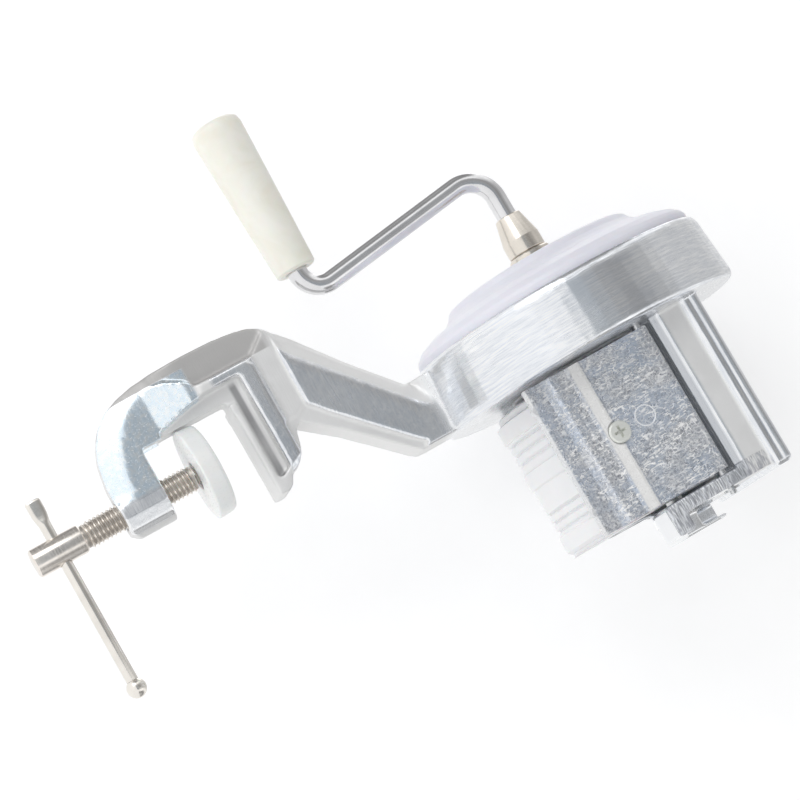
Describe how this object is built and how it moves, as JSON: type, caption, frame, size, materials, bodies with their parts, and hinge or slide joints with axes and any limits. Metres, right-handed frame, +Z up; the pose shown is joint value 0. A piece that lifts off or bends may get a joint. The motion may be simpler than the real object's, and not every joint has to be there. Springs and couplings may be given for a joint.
{
  "type": "rotary cheese grater",
  "caption": "Hand-cranked drum grater: cast ring and feed chamber with a hinged press, on an arm with a table clamp, screw, pad and sliding bar.",
  "frame": {"origin": "on the clamp screw axis, in the plane of the upper jaw face that rests on the table top", "axes": "+Z up along the clamp screw, -Y toward the crank and the user, +Y over the table, +X the press lever side"},
  "size_m": [0.1504, 0.2701, 0.3413],
  "materials": {
    "casting": "die cast, ground and brushed to a bright finish",
    "chromed_rod": "bright chrome plate on steel rod",
    "nickel": "warm nickel plate on turned steel",
    "cap_plastic": "satin moulded plastic, faintly lavender white",
    "ivory_plastic": "moulded ivory plastic with faint marbling",
    "stainless": "stainless steel",
    "raw_diecast": "unpolished die casting with scuffs and scratches",
    "white_plastic": "white food-grade plastic",
    "pad_plastic": "translucent white plastic"
  },
  "bodies": {
    "frame": {"body_casting": "casting", "hinge_pin": "stainless", "hinge_clip_front": "stainless", "hinge_clip_rear": "stainless"},
    "crank": {"crank_rod": "chromed_rod", "crank_ferrule": "nickel", "hub_collar": "nickel", "drive_cap": "cap_plastic", "drum_axle": "stainless", "drum_front_disc": "white_plastic", "drum_shell": "stainless", "drum_rear_spider": "white_plastic", "cap_screw_1": "stainless", "cap_screw_2": "stainless", "cap_screw_3": "stainless", "grip_retainer": "stainless"},
    "grip": {"grip": "ivory_plastic"},
    "lever": {"press_lever": "raw_diecast", "press_shoe": "white_plastic", "press_screw": "nickel"},
    "pad": {"clamp_pad": "pad_plastic", "pad_retainer": "stainless"},
    "screw": {"clamp_screw": "nickel"},
    "bar": {"tommy_bar": "nickel", "tommy_ball": "nickel"}
  },
  "joints": [
    {"name": "crank_spin", "type": "hinge", "parent": "frame", "child": "crank", "pos_m": [0, 0, 0.1575], "axis": [0, 1, 0], "continuous": true},
    {"name": "grip_spin", "type": "hinge", "parent": "crank", "child": "grip", "pos_m": [0, -0.098, 0.0595], "axis": [0, 1, 0], "continuous": true},
    {"name": "press_hinge", "type": "hinge", "parent": "frame", "child": "lever", "pos_m": [0.0452, 0.078, 0.17], "axis": [0, -1, 0], "range_deg": [0, 65]},
    {"name": "pad_lift", "type": "slide", "parent": "frame", "child": "pad", "axis": [0, 0, 1], "range_m": [-0.0152, 0.0164]},
    {"name": "screw_turn", "type": "hinge", "parent": "pad", "child": "screw", "pos_m": [0, 0, -0.05], "axis": [0, 0, 1], "range_deg": [-2570, 2770]},
    {"name": "bar_slide", "type": "slide", "parent": "screw", "child": "bar", "axis": [0, 1, 0], "range_m": [-0.0575, 0.0074]}
  ],
  "couplings": [
    {"joint": "pad_lift", "follows": "screw_turn", "m_per_rad": 0.00033693}
  ]
}
